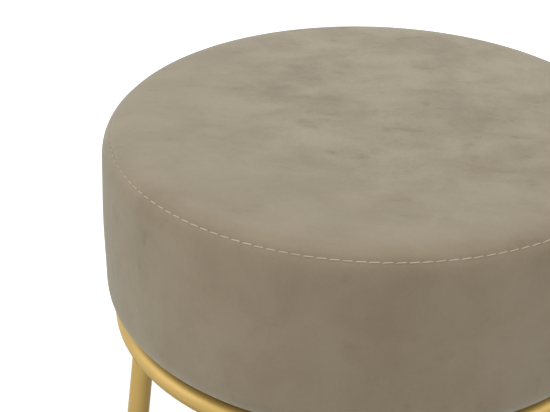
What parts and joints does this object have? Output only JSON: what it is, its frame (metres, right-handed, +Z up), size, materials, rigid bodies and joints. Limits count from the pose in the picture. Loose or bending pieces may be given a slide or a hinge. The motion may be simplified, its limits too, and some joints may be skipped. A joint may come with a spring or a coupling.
{
  "type": "round upholstered stool",
  "caption": "Low round stool with a topstitched velvet drum seat on a satin gold tube hoop and splayed tube legs.",
  "frame": {"origin": "on the floor, under the middle of the seat", "axes": "+Z up along the seat's axis, front towards -Y, legs on the diagonals of X and Y"},
  "size_m": [0.3999, 0.4, 0.45],
  "materials": {
    "velvet": "short-pile taupe velvet",
    "thread": "beige sewing thread",
    "wadding": "white polyester wadding",
    "soft_foam": "soft cream foam",
    "firm_foam": "firm grey-cream foam",
    "plywood": "raw plywood",
    "dust_cloth": "black non-woven cloth",
    "gold_tube": "satin gold",
    "zinc_steel": "zinc plated",
    "foot_plastic": "black moulded plastic"
  },
  "bodies": {
    "root": {"cover_top_panel": "velvet", "cover_side_band": "velvet", "topstitch_thread": "thread", "wadding_wrap": "wadding", "foam_topper": "soft_foam", "foam_core": "firm_foam", "seat_board": "plywood", "t_nuts": "zinc_steel", "hem_staples": "zinc_steel", "dust_cover": "dust_cloth", "dust_cover_staples": "zinc_steel", "hoop": "gold_tube", "leg_front_left": "gold_tube", "leg_front_right": "gold_tube", "leg_rear_right": "gold_tube", "leg_rear_left": "gold_tube", "tab_right": "gold_tube", "tab_rear": "gold_tube", "tab_left": "gold_tube", "tab_front": "gold_tube", "washers": "zinc_steel", "mounting_bolts": "zinc_steel", "foot_front_left": "foot_plastic", "foot_front_right": "foot_plastic", "foot_rear_right": "foot_plastic", "foot_rear_left": "foot_plastic"}
  },
  "joints": []
}
